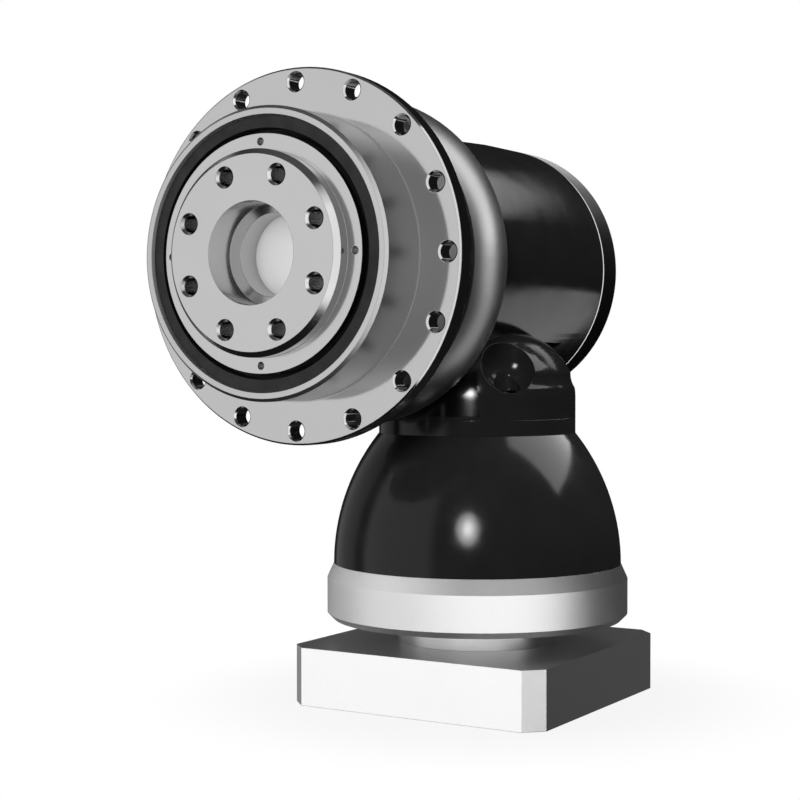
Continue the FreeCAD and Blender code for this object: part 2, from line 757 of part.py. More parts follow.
NECK_RADIUS = "(neck_diameter / 2)"
FRONT_BEARING_FACE = f"({BARREL_FRONT} - bearing_lip)"
FRONT_BEARING_BACK = f"({FRONT_BEARING_FACE} - shaft_front_width)"
angle_housing = turned_body("angle_housing", [
    ("0", NECK_BOTTOM),
    (NECK_RADIUS, NECK_BOTTOM),
    (NECK_RADIUS, "neck_top - neck_rounding", "neck_rounding", 1),
    (f"{NECK_RADIUS} - neck_rounding", "neck_top"),
    ("0", "neck_top"),
])
flat = new_sketch(angle_housing, "XY_Plane", "neck_flat_outline")
flat.AttachmentOffset = Placement(Vector(0, 0, size(f"{NECK_BOTTOM} + neck_flat_rise")), Rotation())
flat.setExpression("AttachmentOffset.Base.z", bound(f"{NECK_BOTTOM} + neck_flat_rise"))
draw_outline(flat, [
    (f"-2 * {NECK_RADIUS}", f"-2 * {NECK_RADIUS}"),
    (f"2 * {NECK_RADIUS}", f"-2 * {NECK_RADIUS}"),
    (f"2 * {NECK_RADIUS}", f"-{BARREL_FRONT}"),
    (f"-2 * {NECK_RADIUS}", f"-{BARREL_FRONT}"),
])
neck_flat = angle_housing.newObject("PartDesign::Pocket", "neck_flat")
neck_flat.Profile = flat
neck_flat.Type = "ThroughAll"
neck_flat.Reversed = True
revolve_on_output(angle_housing, "PartDesign::Revolution", "barrel", [
    (f"{BARREL_FRONT} + barrel_spigot", "0"),
    (f"{BARREL_FRONT} + barrel_spigot", RING_OUTER),
    (BARREL_FRONT, RING_OUTER),
    (BARREL_FRONT, "barrel_diameter / 2"),
    ("-barrel_back", "barrel_diameter / 2"),
    ("-barrel_back", "0"),
])
revolve_on_output(angle_housing, "PartDesign::Groove", "barrel_bores", [
    (f"{BARREL_FRONT} + barrel_spigot", "0"),
    (f"{BARREL_FRONT} + barrel_spigot", "carrier_diameter / 2 + bearing_lip"),
    (BARREL_FRONT, "carrier_diameter / 2 + bearing_lip"),
    (BARREL_FRONT, "bearing_outer / 2"),
    (FRONT_BEARING_BACK, "bearing_outer / 2"),
    (FRONT_BEARING_BACK, "shaft_front_bore / 2 + bearing_lip"),
    (WEB_BACK, "shaft_front_bore / 2 + bearing_lip"),
    (WEB_BACK, "barrel_bore / 2"),
    ("-barrel_back", "barrel_bore / 2"),
    ("-barrel_back", "0"),
])
revolve(angle_housing, "pinion_bores", [
    ("0", NECK_BOTTOM),
    ("bearing_outer / 2", NECK_BOTTOM),
    ("bearing_outer / 2", "upper_seat + bearing_width"),
    (f"{PINION_TIP} + web_gap", "upper_seat + bearing_width"),
    (f"{PINION_TIP} + web_gap", "pinion_top + web_gap"),
    ("0", "pinion_top + web_gap"),
], "PartDesign::Groove")

# Screw pockets, each open to the side with a ball shaped floor, and the shallow relief between them

neck_screw_angles = (-41.5, 50.5)
RELIEF_REACH = f"({NECK_RADIUS} + relief_overhang)"
RELIEF_MIDDLE = "(pocket_floor + relief_rise)"
revolve(angle_housing, "pocket_relief", [
    (RELIEF_REACH, f"{RELIEF_MIDDLE} + relief_radius", "relief_radius", 1),
    (f"{RELIEF_REACH} - relief_radius", RELIEF_MIDDLE, "relief_radius", 1),
    (RELIEF_REACH, f"{RELIEF_MIDDLE} - relief_radius"),
], "PartDesign::Groove", neck_screw_angles[0], neck_screw_angles[1] - neck_screw_angles[0])
for number, angle in enumerate(neck_screw_angles):
    drill(angle_housing, f"screw_pocket_{number}", POCKET_PITCH, [
        ("pocket_radius", "pocket_floor + pocket_height"),
        ("pocket_radius", "pocket_floor + pocket_radius", "pocket_radius", -1),
        ("0", "pocket_floor"),
    ], start=angle)
    drill(angle_housing, f"neck_screw_hole_{number}", NECK_SCREW_PITCH, [
        ("neck_screw * head_share + screw_clearance", "pocket_floor + pocket_radius"),
        ("neck_screw * head_share + screw_clearance", NECK_SCREW_SEAT),
        ("neck_screw / 2 + screw_clearance", NECK_SCREW_SEAT),
        ("neck_screw / 2 + screw_clearance", NECK_BOTTOM),
    ], start=angle)

tapping = new_sketch(angle_housing, "XZ_Plane", "cover_tapping_circles")
tapping.AttachmentOffset = Placement(Vector(0, 0, -size("barrel_back")), Rotation())
tapping.setExpression("AttachmentOffset.Base.z", bound("-barrel_back"))
cover_screw_count = int(size("cover_screws"))
for number in range(cover_screw_count):
    angle = number * 360.0 / cover_screw_count
    across = f"-axis_offset + cover_screw_pitch / 2 * cos({angle})"
    up = f"axis_height + cover_screw_pitch / 2 * sin({angle})"
    middle = Vector(size(across), size(up), 0)
    tapping_radius = size("cover_screw / 2 + screw_clearance")
    circle = tapping.addGeometry(Part.Circle(middle, Vector(0, 0, 1), tapping_radius), False)
    hold_point(tapping, circle, 3, across, up)
    held = tapping.addConstraint(Sketcher.Constraint("Radius", circle, tapping_radius))
    tapping.setExpression(f"Constraints[{held}]", bound("cover_screw / 2 + screw_clearance"))
cover_tapping = angle_housing.newObject("PartDesign::Pocket", "cover_tapping")
cover_tapping.Profile = tapping
cover_tapping.Reversed = True
TAPPING_DEPTH = "cover_screw_length + cover_screw - cover_thickness - shim_thickness + planet_play"
cover_tapping.Length = size(TAPPING_DEPTH)
cover_tapping.setExpression("Length", bound(TAPPING_DEPTH))

# Rear cover with the seat of the rear shaft bearing, its bright shim and its screws

COVER_NOSE = f"({FLANGE_REAR} - planet_play)"
REAR_BEARING_FACE = f"({FLANGE_REAR} - bearing_lip)"
REAR_BEARING_BACK = f"({REAR_BEARING_FACE} - bearing_width)"
SHAFT_END = f"({REAR_BEARING_BACK} - bearing_lip)"
COVER_RADIUS = "(barrel_diameter / 2)"
rear_cover = turned_body("rear_cover", [
    ("0", COVER_BACK),
    (f"{COVER_RADIUS} - cover_chamfer", COVER_BACK),
    (COVER_RADIUS, f"{COVER_BACK} + cover_chamfer"),
    (COVER_RADIUS, COVER_SEAT),
    ("barrel_bore / 2", COVER_SEAT),
    ("barrel_bore / 2", COVER_NOSE),
    ("bearing_outer / 2", COVER_NOSE),
    ("bearing_outer / 2", REAR_BEARING_BACK),
    ("bearing_outer / 2 - bearing_ring", REAR_BEARING_BACK),
    ("bearing_outer / 2 - bearing_ring", f"{SHAFT_END} - bearing_lip"),
    ("0", f"{SHAFT_END} - bearing_lip"),
], on_output=True)
cover_screw_hole = [
    ("cover_screw * head_share + screw_clearance", COVER_BACK),
    ("cover_screw * head_share + screw_clearance", f"{COVER_BACK} + cover_screw"),
    ("cover_screw / 2 + screw_clearance", f"{COVER_BACK} + cover_screw"),
    ("cover_screw / 2 + screw_clearance", COVER_SEAT),
]
drill(rear_cover, "cover_screw_holes", "cover_screw_pitch", cover_screw_hole, "cover_screws")
rear_shim = tube("rear_shim", "barrel_bore / 2", COVER_RADIUS, COVER_SEAT, "-barrel_back", on_output=True)
drill(rear_shim, "shim_holes", "cover_screw_pitch", [
    ("cover_screw / 2 + screw_clearance", COVER_SEAT),
    ("cover_screw / 2 + screw_clearance", "-barrel_back"),
], "cover_screws")
cover_screw = socket_screw(size("cover_screw"), size("cover_screw_length"))
cover_screw.rotate(Vector(), Vector(1, 0, 0), 180)
cover_screw.translate(Vector(0, 0, size(f"{COVER_BACK} + cover_screw")))
cover_screw_group = ring_of(cover_screw, size("cover_screw_pitch / 2"), int(size("cover_screws")))
new_feature("rear_cover_screws", Part.makeCompound(cover_screw_group), on_output=True)

# Shaft bearings: the shields are drawn with the outer ring


def shielded_bearing(label, bore, low, high, on_output):
    shield = f"({bore}) / 2 + bearing_ring + shield_gap"
    tube(label + "_outer", shield, "bearing_outer / 2", low, high, on_output)
    tube(label + "_inner", f"({bore}) / 2", f"({bore}) / 2 + bearing_ring", low, high, on_output)


shielded_bearing("shaft_front_bearing", "shaft_front_bore", FRONT_BEARING_BACK, FRONT_BEARING_FACE, True)
shielded_bearing("shaft_rear_bearing", "shaft_rear_bore", REAR_BEARING_BACK, REAR_BEARING_FACE, True)

# Sun shaft with the sun gear and the crown gear's flange


def stepped_shaft(sections):
    """Round shaft built from (radius, low, high) sections, each of them an expression."""
    solids = []
    for radius, low, high in sections:
        start = Vector(0, 0, size(low))
        solids.append(Part.makeCylinder(size(radius), size(high) - size(low), start))
    return solids[0].fuse(solids[1:]).removeSplitter()


CROWN_HUB = f"({CROWN_ROOT} - bearing_lip)"
sun_shaft = stepped_shaft([
    ("shaft_rear_bore / 2", SHAFT_END, REAR_BEARING_FACE),
    ("shaft_rear_bore / 2 + bearing_lip", REAR_BEARING_FACE, FLANGE_REAR),
    ("crown_flange_diameter / 2", FLANGE_REAR, CROWN_BACK),
    ("crown_bore / 2", CROWN_BACK, CROWN_HUB),
    ("waist_diameter / 2", CROWN_HUB, WEB_BACK),
    ("shaft_front_bore / 2 + bearing_lip / 2", WEB_BACK, FRONT_BEARING_BACK),
    ("shaft_front_bore / 2", FRONT_BEARING_BACK, FRONT_BEARING_FACE),
    ("sun_journal / 2", FRONT_BEARING_FACE, PLATE_FRONT),
    (SUN_ROOT, PLATE_FRONT, PLANET_BACK),
])
sun_gear = outer_gear(sun_teeth, gear_module, planet_low, planet_high, sun_phase)
crown_screw = socket_screw(size("crown_screw"), size(f"{CROWN_HUB} - crown_screw") - size(FLANGE_REAR))
crown_screw.translate(Vector(0, 0, size(f"{CROWN_HUB} - crown_screw")))
crown_screw_group = ring_of(crown_screw, size("crown_screw_pitch / 2"), int(size("crown_screws")))
screw_gap = size("screw_clearance")
crown_shank = Part.makeCylinder(size("crown_screw / 2") + screw_gap, size(CROWN_HUB) - size(FLANGE_REAR),
                                Vector(0, 0, size(FLANGE_REAR)))
crown_shanks = ring_of(crown_shank, size("crown_screw_pitch / 2"), int(size("crown_screws")))
new_feature("sun_shaft", sun_shaft.fuse(sun_gear).removeSplitter().cut(crown_shanks), on_output=True)
new_feature("crown_screws", Part.makeCompound(crown_screw_group), on_output=True)

# Crown gear: its gaps are what a pinion tooth sweeps as the two gears roll, with backlash added


def pinion_tooth(radius):
    """Half the width of a pinion tooth at a radius."""
    slope = math.tan(math.radians(size("flank_angle")))
    return math.pi * size("angle_module") / 4 - size("backlash") / 2 + (size(PINION_RADIUS) - radius) * slope


SWEEP_STEPS_PER_DEGREE = 4
SWEEP_STEPS = 20 * SWEEP_STEPS_PER_DEGREE
TOOTH_STATIONS = 6


def swept_section(distance):
    """Trapezoid swept by a pinion tooth in the crown gear, at a distance from the crown's X axis."""
    offset = size("axis_offset")
    ratio = size("crown_teeth / pinion_teeth")
    low = size(CROWN_ROOT)
    high = size(CROWN_TIP)
    root = size(PINION_ROOT)
    tip = size(PINION_TIP)
    radii = [root + (tip - root) * step / TOOTH_STATIONS for step in range(TOOTH_STATIONS + 1)]
    corners = {}
    for side in (-1, 1):
        swept = []
        for step in range(-SWEEP_STEPS, SWEEP_STEPS + 1):
            turn = math.radians(step / SWEEP_STEPS_PER_DEGREE)
            roll = ratio * turn
            for radius in radii:
                half = pinion_tooth(radius) * side
                across = offset + radius * math.sin(roll) + half * math.cos(roll)
                depth = -radius * math.cos(roll) + half * math.sin(roll)
                if depth < high:
                    reach = (across - distance * math.sin(turn)) / math.cos(turn) - offset
                    swept.append((depth, reach * side))
        quarter = (high - low) / 4
        at_low = max(reach for depth, reach in swept if depth < low + quarter)
        at_high = max(reach for depth, reach in swept if depth > high - quarter)
        rise = (at_high - at_low) / (high - low)
        spare = max(reach - at_low - rise * (depth - low) for depth, reach in swept)
        at_low += spare + size("backlash")
        corners[side] = (at_low, at_low + rise * (high - low + size("tooth_clearance")))
    top = high + size("tooth_clearance")
    points = [(-corners[-1][0], low), (corners[1][0], low), (corners[1][1], top), (-corners[-1][1], top)]
    loop = [Vector(offset + across, -distance, depth) for across, depth in points]
    return Part.makePolygon(loop + loop[:1])


def crown_gear():
    outer = size("crown_outer")
    inner = size("crown_inner")
    back = size(CROWN_BACK)
    hub = size(CROWN_HUB)
    tip = size(CROWN_TIP)
    teeth = int(size("crown_teeth"))
    rolling = size(PINION_RADIUS) * teeth / size("pinion_teeth")
    blank = Part.makeCylinder(outer, tip - back, Vector(0, 0, back))
    blank = blank.cut(Part.makeCylinder(inner, tip - hub, Vector(0, 0, hub)))
    blank = blank.cut(Part.makeCylinder(size("crown_bore / 2"), hub - back, Vector(0, 0, back)))
    gap = Part.makeLoft([swept_section(distance) for distance in (inner / 2, rolling, outer)], True, True)
    gaps = []
    for tooth in range(teeth):
        copy = gap.copy()
        copy.rotate(Vector(), Vector(0, 0, 1), tooth * 360.0 / teeth)
        gaps.append(copy)
    head = Part.makeCylinder(size("crown_screw * head_share") + screw_gap, size("crown_screw"),
                             Vector(0, 0, hub - size("crown_screw")))
    heads = ring_of(head, size("crown_screw_pitch / 2"), int(size("crown_screws")))
    return blank.cut(gaps).cut(heads + crown_shanks)


new_feature("crown_gear", crown_gear(), on_output=True)

# Input stack: motor plate, collar, ring, bell and neck ring

PLATE_HALF = "(plate_width / 2)"
PLATE_CUT = "(plate_width / 2 - plate_chamfer)"
motor_plate = new_body("motor_plate", False)
plate_sketch = new_sketch(motor_plate, "XY_Plane", "plate_outline")
draw_outline(plate_sketch, [
    (f"-{PLATE_CUT}", f"-{PLATE_HALF}"),
    (PLATE_CUT, f"-{PLATE_HALF}"),
    (PLATE_HALF, f"-{PLATE_CUT}"),
    (PLATE_HALF, PLATE_CUT),
    (PLATE_CUT, PLATE_HALF),
    (f"-{PLATE_CUT}", PLATE_HALF),
    (f"-{PLATE_HALF}", PLATE_CUT),
    (f"-{PLATE_HALF}", f"-{PLATE_CUT}"),
])
plate_pad = motor_plate.newObject("PartDesign::Pad", "plate_slab")
plate_pad.Profile = plate_sketch
plate_pad.Length = size("plate_thickness")
plate_pad.setExpression("Length", bound("plate_thickness"))
revolve(motor_plate, "motor_pilot_bore", [
    ("0", "0"),
    ("motor_pilot / 2", "0"),
    ("motor_pilot / 2", "motor_pilot_depth"),
    ("collar_bore / 2", "motor_pilot_depth"),
    ("collar_bore / 2", "plate_thickness"),
    ("0", "plate_thickness"),
], "PartDesign::Groove")
drill(motor_plate, "motor_tapped_holes", "motor_pitch", [
    ("motor_hole / 2", "0"),
    ("motor_hole / 2", "motor_hole_depth"),
], "motor_holes", 180.0 / size("motor_holes"))
PLATE_SCREW_SEAT = "(motor_pilot_depth + plate_screw)"
PLATE_SCREW_RADIUS = "plate_screw / 2 + screw_clearance"
drill(motor_plate, "plate_screw_holes", "plate_screw_pitch", [
    ("plate_screw * head_share + screw_clearance", "motor_pilot_depth"),
    ("plate_screw * head_share + screw_clearance", PLATE_SCREW_SEAT),
    (PLATE_SCREW_RADIUS, PLATE_SCREW_SEAT),
    (PLATE_SCREW_RADIUS, "plate_thickness"),
], "plate_screws")

motor_collar = tube("motor_collar", "collar_bore / 2", "collar_diameter / 2", "plate_thickness", COLLAR_TOP)
drill(motor_collar, "collar_screw_holes", "plate_screw_pitch", [
    (PLATE_SCREW_RADIUS, "plate_thickness"),
    (PLATE_SCREW_RADIUS, COLLAR_TOP),
], "plate_screws")

FLOOR_TOP = f"({COLLAR_TOP} + ring_floor)"
input_ring = turned_body("input_ring", [
    ("collar_bore / 2", COLLAR_TOP),
    ("ring_diameter / 2 - ring_bevel", COLLAR_TOP),
    ("ring_diameter / 2", f"{COLLAR_TOP} + ring_bevel"),
    ("ring_diameter / 2", f"{RING_TOP} - ring_cone"),
    ("bell_diameter / 2", RING_TOP),
    ("ring_bore / 2", RING_TOP),
    ("ring_bore / 2", FLOOR_TOP),
    ("collar_bore / 2", FLOOR_TOP),
])
drill(input_ring, "ring_screw_holes", "plate_screw_pitch", [
    (PLATE_SCREW_RADIUS, COLLAR_TOP),
    (PLATE_SCREW_RADIUS, FLOOR_TOP),
], "plate_screws")
plate_screw_seat = size(PLATE_SCREW_SEAT)
plate_screw = socket_screw(size("plate_screw"), size(FLOOR_TOP) - plate_screw_seat)
plate_screw.rotate(Vector(), Vector(1, 0, 0), 180)
plate_screw.translate(Vector(0, 0, plate_screw_seat))
plate_screw_group = ring_of(plate_screw, size("plate_screw_pitch / 2"), int(size("plate_screws")))
new_feature("plate_screws", Part.makeCompound(plate_screw_group))

SHOULDER_BORE = "(bearing_outer / 2 - bearing_ring)"
CAVITY_TOP = f"({RING_TOP} + bell_cavity)"
bell_housing = turned_body("bell_housing", [
    ("ring_bore / 2", RING_TOP),
    ("bell_diameter / 2", RING_TOP, "bell_radius", 1),
    (NECK_RADIUS, BELL_TOP),
    (SHOULDER_BORE, BELL_TOP),
    (SHOULDER_BORE, "lower_seat + bearing_width"),
    ("bearing_outer / 2", "lower_seat + bearing_width"),
    ("bearing_outer / 2", CAVITY_TOP),
    ("ring_bore / 2", CAVITY_TOP),
])
neck_ring = tube("neck_ring", SHOULDER_BORE, NECK_RADIUS, BELL_TOP, NECK_BOTTOM)
NECK_SCREW_END = f"({NECK_SCREW_SEAT} - neck_screw_length)"
NECK_SCREW_RADIUS = "neck_screw / 2 + screw_clearance"
for number, angle in enumerate(neck_screw_angles):
    drill(neck_ring, f"ring_neck_hole_{number}", NECK_SCREW_PITCH, [
        (NECK_SCREW_RADIUS, NECK_BOTTOM),
        (NECK_SCREW_RADIUS, BELL_TOP),
    ], start=angle)
    drill(bell_housing, f"bell_tapping_{number}", NECK_SCREW_PITCH, [
        (NECK_SCREW_RADIUS, BELL_TOP),
        (NECK_SCREW_RADIUS, f"{NECK_SCREW_END} - planet_play"),
    ], start=angle)
neck_screws = []
for angle in neck_screw_angles:
    screw = socket_screw(size("neck_screw"), size("neck_screw_length"))
    screw.translate(around(size(f"{NECK_SCREW_PITCH} / 2"), angle) + Vector(0, 0, size(NECK_SCREW_SEAT)))
    neck_screws.append(screw)
new_feature("neck_screws", Part.makeCompound(neck_screws))

# Pinion shaft: clamp hub at the bottom, two bearing seats and the pinion at the top


def pinion_teeth_solid():
    """Straight-flanked pinion with a tooth towards the crown gear."""
    root = size(PINION_ROOT)
    tip = size(PINION_TIP)
    teeth = int(size("pinion_teeth"))
    outline = []
    for tooth in range(teeth):
        middle = math.radians(90.0 + tooth * 360.0 / teeth)
        for side, radius in ((-1, root), (-1, tip), (1, tip), (1, root)):
            half = side * pinion_tooth(radius)
            outline.append((radius * math.cos(middle) - half * math.sin(middle),
                            radius * math.sin(middle) + half * math.cos(middle)))
    return polygon_prism(outline, size("pinion_bottom"), size("pinion_top"))


pinion_shaft = stepped_shaft([
    ("hub_diameter / 2", "hub_bottom", HUB_TOP),
    ("seal_journal / 2", HUB_TOP, "lower_seat"),
    ("shaft_rear_bore / 2", "lower_seat", "pinion_bottom"),
])
pinion_shaft = pinion_shaft.fuse(pinion_teeth_solid()).removeSplitter()
slit = size("clamp_slit")
hub_slit = Part.makeBox(size("hub_diameter"), slit, size("clamp_height + clamp_width - hub_bottom"),
                        Vector(0, -slit / 2, size("hub_bottom")))
motor_bore = Part.makeCylinder(size("motor_shaft / 2"), size("motor_shaft_depth"),
                               Vector(0, 0, size("hub_bottom")))
new_feature("pinion_shaft", pinion_shaft.cut([motor_bore, hub_slit]))

shielded_bearing("pinion_upper_bearing", "shaft_rear_bore", "upper_seat", "upper_seat + bearing_width", False)
shielded_bearing("pinion_lower_bearing", "shaft_rear_bore", "lower_seat", "lower_seat + bearing_width", False)
tube("pinion_nut", "shaft_rear_bore / 2", "shaft_rear_bore / 2 + nut_wall", "lower_seat + bearing_width",
     "lower_seat + bearing_width + nut_width")
tube("input_seal", "seal_journal / 2 + running_gap", "bearing_outer / 2",
     "lower_seat - bearing_lip - input_seal_width", "lower_seat - bearing_lip")

# Clamp ring on the hub, its cross screw, and the plug that closes the key hole

reach = size("clamp_screw_reach")
clamp_low = size("clamp_height")
clamp_width = size("clamp_width")
clamp_middle = clamp_low + clamp_width / 2
clamp_radius = size("clamp_diameter / 2")
screw_size = size("clamp_screw")
head_seat = screw_size
cross_start = Vector(reach, -clamp_radius, clamp_middle)
cross_seat = Vector(reach, head_seat, clamp_middle)
across_clamp = Vector(0, 1, 0)
clamp_ring = Part.makeCylinder(clamp_radius, clamp_width, Vector(0, 0, clamp_low))
clamp_ring = clamp_ring.cut([
    Part.makeCylinder(size("hub_diameter / 2"), clamp_width, Vector(0, 0, clamp_low)),
    Part.makeBox(clamp_radius, slit, clamp_width, Vector(0, -slit / 2, clamp_low)),
    Part.makeCylinder(screw_size / 2 + screw_gap, 2 * clamp_radius, cross_start, across_clamp),
    Part.makeCylinder(size("clamp_screw * head_share") + screw_gap, clamp_radius, cross_seat, across_clamp),
])
new_feature("clamp_ring", clamp_ring)
clamp_screw = socket_screw(screw_size, 2 * screw_size + head_seat)
clamp_screw.rotate(Vector(), Vector(1, 0, 0), -90)
clamp_screw.translate(cross_seat)
new_feature("clamp_screw", clamp_screw)

KEY_HEIGHT = "clamp_height + clamp_width / 2"
key_sketch = new_sketch(input_ring, "XZ_Plane", "key_hole_circle")
key_radius = size("plug_diameter / 2")
key_outline = Part.Circle(Vector(reach, clamp_middle, 0), Vector(0, 0, 1), key_radius)
key_circle = key_sketch.addGeometry(key_outline, False)
hold_point(key_sketch, key_circle, 3, "clamp_screw_reach", KEY_HEIGHT)
held = key_sketch.addConstraint(Sketcher.Constraint("Radius", key_circle, key_radius))
key_sketch.setExpression(f"Constraints[{held}]", bound("plug_diameter / 2"))
key_hole = input_ring.newObject("PartDesign::Pocket", "key_hole")
key_hole.Profile = key_sketch
key_hole.Length = size("ring_diameter / 2")
key_hole.setExpression("Length", bound("ring_diameter / 2"))
wall_front = math.sqrt(size("ring_diameter / 2") ** 2 - (reach + key_radius) ** 2)
plug_length = size("plug_length")
plug_foot = Vector(reach, wall_front - plug_length, clamp_middle)
new_feature("access_plug", Part.makeCylinder(key_radius, plug_length, plug_foot, across_clamp))

# Every object and shape is sound before anything is written

doc.recompute()
for item in doc.Objects:
    if "Invalid" in item.State or "Error" in item.State:
        raise RuntimeError(f"{item.Label} failed: {item.State}")
for item in subparts:
    if item.Shape.isNull() or not item.Shape.isValid():
        raise RuntimeError(f"{item.Label} has no sound shape")

os.makedirs("parts", exist_ok=True)
for item in subparts:
    item.Shape.exportStep(f"parts/{item.Label}.step")
    print(f"{item.Label}: {len(item.Shape.Solids)} solids, {item.Shape.Volume:.1f} mm3")
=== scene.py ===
import json
import math

import bmesh
import bpy
from mathutils import Matrix, Quaternion, Vector


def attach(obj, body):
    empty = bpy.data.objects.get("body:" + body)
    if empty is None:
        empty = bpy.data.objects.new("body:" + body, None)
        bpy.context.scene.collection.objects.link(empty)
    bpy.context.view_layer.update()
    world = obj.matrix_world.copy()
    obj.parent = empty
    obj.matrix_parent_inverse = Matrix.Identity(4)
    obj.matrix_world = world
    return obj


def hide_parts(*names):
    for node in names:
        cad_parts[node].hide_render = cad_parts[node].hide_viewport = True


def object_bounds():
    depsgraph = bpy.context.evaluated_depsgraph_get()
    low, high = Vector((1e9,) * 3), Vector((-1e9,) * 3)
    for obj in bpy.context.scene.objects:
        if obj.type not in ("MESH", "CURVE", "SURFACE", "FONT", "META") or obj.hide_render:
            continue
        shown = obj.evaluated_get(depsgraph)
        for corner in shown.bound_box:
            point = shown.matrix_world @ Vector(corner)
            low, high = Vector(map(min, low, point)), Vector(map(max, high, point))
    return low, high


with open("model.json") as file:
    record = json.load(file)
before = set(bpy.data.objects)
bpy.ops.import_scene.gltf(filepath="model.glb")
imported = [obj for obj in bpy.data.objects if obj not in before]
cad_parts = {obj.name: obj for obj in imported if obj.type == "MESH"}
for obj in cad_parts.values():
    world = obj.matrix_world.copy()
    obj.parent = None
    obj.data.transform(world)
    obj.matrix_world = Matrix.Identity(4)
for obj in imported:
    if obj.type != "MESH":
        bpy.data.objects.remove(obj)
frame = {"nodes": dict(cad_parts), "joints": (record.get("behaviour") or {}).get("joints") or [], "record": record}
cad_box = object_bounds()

# Right angle planetary gearbox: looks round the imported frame, in metres

nodes = frame["nodes"]
# Pieces that lamps can name: the frame's nodes and what this script adds
shown = dict(nodes)
scene = bpy.context.scene
scene.view_settings.view_transform = "Standard"

OUTPUT_JOINT = next(joint for joint in frame["joints"] if joint["name"] == "output_spin")
OUTPUT_AXIS = Vector(OUTPUT_JOINT["pos_m"])

# Camera, found by fitting circles of known size to the photograph

CAMERA_PLACE = Vector((0.2846, -0.5238, 0.1166))
CAMERA_TURN = 31.064
CAMERA_RISE = 1.433
CAMERA_ROLL = math.radians(-0.041)
FOCAL_PIXELS = 1732.13
PHOTO_PIXELS = 800
SENSOR_MM = 36.0
CLIP_NEAR = 0.01
CLIP_FAR = 20.0


def direction(turn, rise):
    """Unit vector turned from the output's direction towards +X, and raised, in degrees."""
    turn = math.radians(turn)
    rise = math.radians(rise)
    level = math.cos(rise)
    return Vector((math.sin(turn) * level, -math.cos(turn) * level, math.sin(rise)))


def make_camera():
    """Camera at the photograph's place, looking the way the photograph does."""
    data = bpy.data.cameras.new("camera")
    data.sensor_fit = "AUTO"
    data.sensor_width = SENSOR_MM
    data.lens = FOCAL_PIXELS / PHOTO_PIXELS * SENSOR_MM
    data.clip_start = CLIP_NEAR
    data.clip_end = CLIP_FAR
    back = direction(CAMERA_TURN, CAMERA_RISE)
    flat_right = direction(CAMERA_TURN + 90.0, 0.0)
    flat_up = back.cross(flat_right)
    right = math.cos(CAMERA_ROLL) * flat_right + math.sin(CAMERA_ROLL) * flat_up
    up = math.cos(CAMERA_ROLL) * flat_up - math.sin(CAMERA_ROLL) * flat_right
    camera = bpy.data.objects.new("camera", data)
    facing = Matrix((right, up, back)).transposed().to_4x4()
    camera.matrix_world = Matrix.Translation(CAMERA_PLACE) @ facing
    scene.collection.objects.link(camera)
    scene.camera = camera


# Node helpers


class Graph:
    """Short way to add and join shader nodes."""

    def __init__(self, tree):
        self.tree = tree
        tree.nodes.clear()

    def add(self, kind, inputs=None, **settings):
        """Adds a node, and joins or sets its inputs."""
        node = self.tree.nodes.new(kind)
        for name, value in settings.items():
            setattr(node, name, value)
        for key, value in (inputs or {}).items():
            if isinstance(value, bpy.types.NodeSocket):
                self.tree.links.new(value, node.inputs[key])
            else:
                node.inputs[key].default_value = value
        return node

    def math(self, operation, first, second=0.0):
        return self.add("ShaderNodeMath", {0: first, 1: second}, operation=operation).outputs[0]

    def vector(self, operation, first, second):
        node = self.add("ShaderNodeVectorMath", {0: first, 1: second}, operation=operation)
        return node.outputs["Vector"]

    def length(self, vector):
        return self.add("ShaderNodeVectorMath", {0: vector}, operation="LENGTH").outputs["Value"]

    def ramp(self, value, low, high, out_low=0.0, out_high=1.0):
        """Smooth step between two values."""
        node = self.add("ShaderNodeMapRange", {
            "Value": value, "From Min": low, "From Max": high, "To Min": out_low, "To Max": out_high,
        }, interpolation_type="SMOOTHSTEP")
        return node.outputs["Result"]

    def blend(self, factor, first, second):
        """Colour between two others."""
        node = self.add("ShaderNodeMix", {"Factor": factor}, data_type="RGBA")
        node.inputs[6].default_value = first
        node.inputs[7].default_value = second
        return node.outputs[2]

    def mix(self, first, second, share):
        """Weighted sum of two numbers, of which the first has the given share."""
        weighted = self.math("MULTIPLY", first, share)
        return self.math("ADD", weighted, self.math("MULTIPLY", second, 1.0 - share))

    def noise(self, coordinates, scale, detail, roughness=0.55):
        node = self.add("ShaderNodeTexNoise", {
            "Vector": coordinates, "Scale": scale, "Detail": detail, "Roughness": roughness,
        })
        return node.outputs["Fac"]

    def line_noise(self, value, scale):
        node = self.add("ShaderNodeTexNoise", {
            "W": value, "Scale": scale, "Detail": 2.0,
        }, noise_dimensions="1D")
        return node.outputs["Fac"]


def smooth_step(value, low, high):
    """Share from 0 to 1 of the way from low to high, with no sharp ends."""
    share = min(1.0, max(0.0, (value - low) / (high - low)))
    return share * share * (3.0 - 2.0 * share)


def grey(level):
    return (level, level, level, 1.0)


def new_material(name):
    """Material with an empty node tree, and its object coordinates."""
    material = bpy.data.materials.new(name)
    material.use_nodes = True
    graph = Graph(material.node_tree)
    place = graph.add("ShaderNodeTexCoord").outputs["Object"]
    return material, graph, place


EDGE_RADIUS = 0.00025
EDGE_SAMPLES = 6


def close(graph, sockets, height, strength, distance):
    """Principled surface with the given sockets, a bump and softened edges."""
    edges = graph.add("ShaderNodeBevel", {"Radius": EDGE_RADIUS}, samples=EDGE_SAMPLES)
    bump = graph.add("ShaderNodeBump", {
        "Height": height, "Strength": strength, "Distance": distance, "Normal": edges.outputs["Normal"],
    })
    surface = graph.add("ShaderNodeBsdfPrincipled", {**sockets, "Normal": bump.outputs["Normal"]})
    graph.add("ShaderNodeOutputMaterial", {"Surface": surface.outputs[0]})


# Materials. Noise scales are in features per metre, and bump distances in metres.

